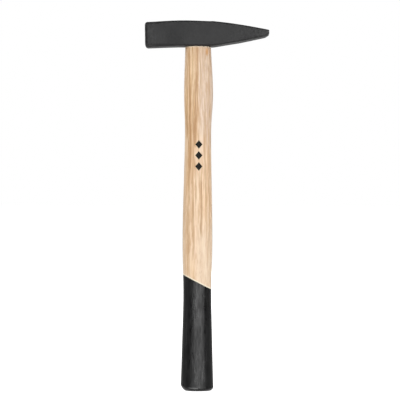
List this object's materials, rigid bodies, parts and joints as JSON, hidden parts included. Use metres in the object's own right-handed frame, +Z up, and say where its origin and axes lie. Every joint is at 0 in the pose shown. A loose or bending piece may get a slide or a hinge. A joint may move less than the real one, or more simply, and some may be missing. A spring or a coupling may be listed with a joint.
{
  "type": "cross peen hammer",
  "caption": "Light machinist's hammer with a forged square-faced cross peen head wedged onto a swelled ash handle, its grip dipped in black lacquer.",
  "frame": {"origin": "centre of the handle's butt end", "axes": "+Z up the handle to the head, +X along the head from the striking face to the peen, -Y is the printed side"},
  "size_m": [0.095, 0.0196, 0.2828],
  "materials": {
    "painted_steel": "matte",
    "ash": "satin",
    "wedge_wood": "matte",
    "bare_steel": "satin",
    "lacquer": "satin",
    "ink": "matte"
  },
  "bodies": {
    "root": {"hammer_head": "painted_steel", "handle": "ash", "wooden_wedge": "wedge_wood", "ring_wedge": "bare_steel", "grip_coating": "lacquer", "printed_mark": "ink"}
  },
  "joints": []
}
